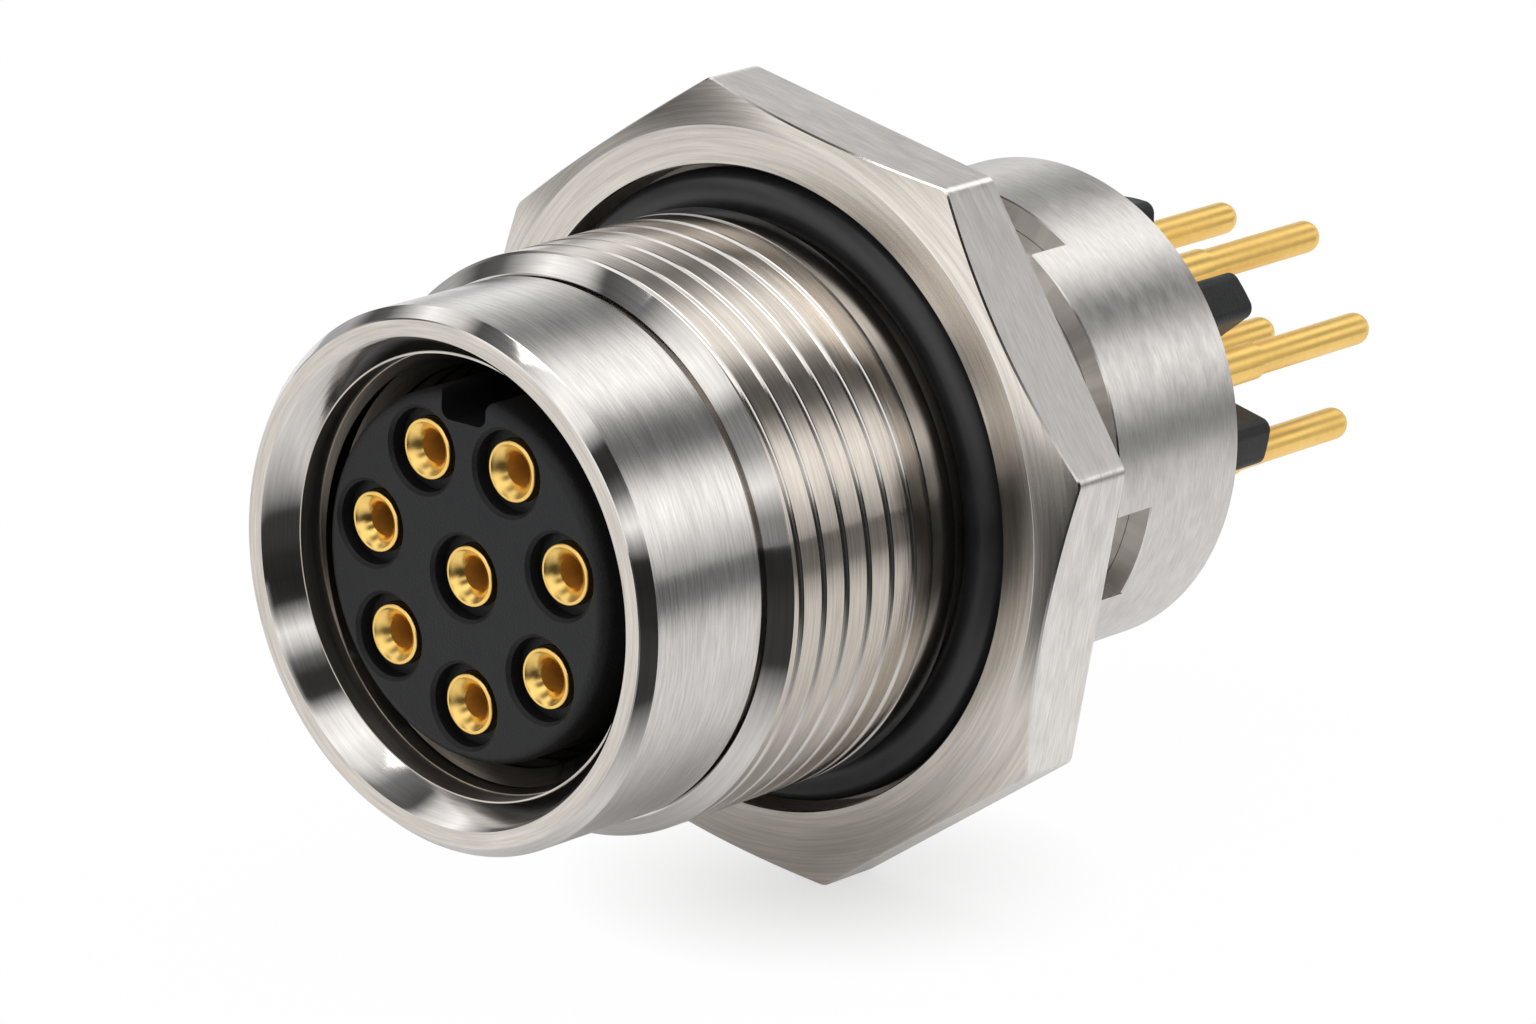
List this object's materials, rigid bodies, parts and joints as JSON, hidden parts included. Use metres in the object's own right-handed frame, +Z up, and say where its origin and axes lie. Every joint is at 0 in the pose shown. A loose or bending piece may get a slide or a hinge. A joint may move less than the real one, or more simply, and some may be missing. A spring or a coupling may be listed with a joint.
{
  "type": "circular connector socket",
  "caption": "Panel-mount round female connector with a threaded metal shell, wrench flange, panel seal, keyed black insert and gold solder contacts.",
  "frame": {"origin": "on the socket's axis, in the plane of the flange's front face, which seats on the panel", "axes": "-Y out of the mouth along the axis, +Y towards the solder tails, +Z up through the key slot"},
  "size_m": [0.0222, 0.035, 0.0222],
  "materials": {
    "nickel_plate": "nickel plate, brushed round the axis",
    "black_plastic": "matt black moulding",
    "seal_rubber": "satin black",
    "gold_plate": "polished gold plate"
  },
  "bodies": {
    "root": {"shell": "nickel_plate", "rear_sleeve": "nickel_plate", "panel_o_ring": "seal_rubber", "carrier_seal": "seal_rubber", "contact_carrier": "black_plastic", "rear_insulator": "black_plastic", "contact_1": "gold_plate", "contact_2": "gold_plate", "contact_3": "gold_plate", "contact_4": "gold_plate", "contact_5": "gold_plate", "contact_6": "gold_plate", "contact_7": "gold_plate", "contact_8": "gold_plate", "contact_hood_1": "gold_plate", "contact_hood_2": "gold_plate", "contact_hood_3": "gold_plate", "contact_hood_4": "gold_plate", "contact_hood_5": "gold_plate", "contact_hood_6": "gold_plate", "contact_hood_7": "gold_plate", "contact_hood_8": "gold_plate"}
  },
  "joints": []
}
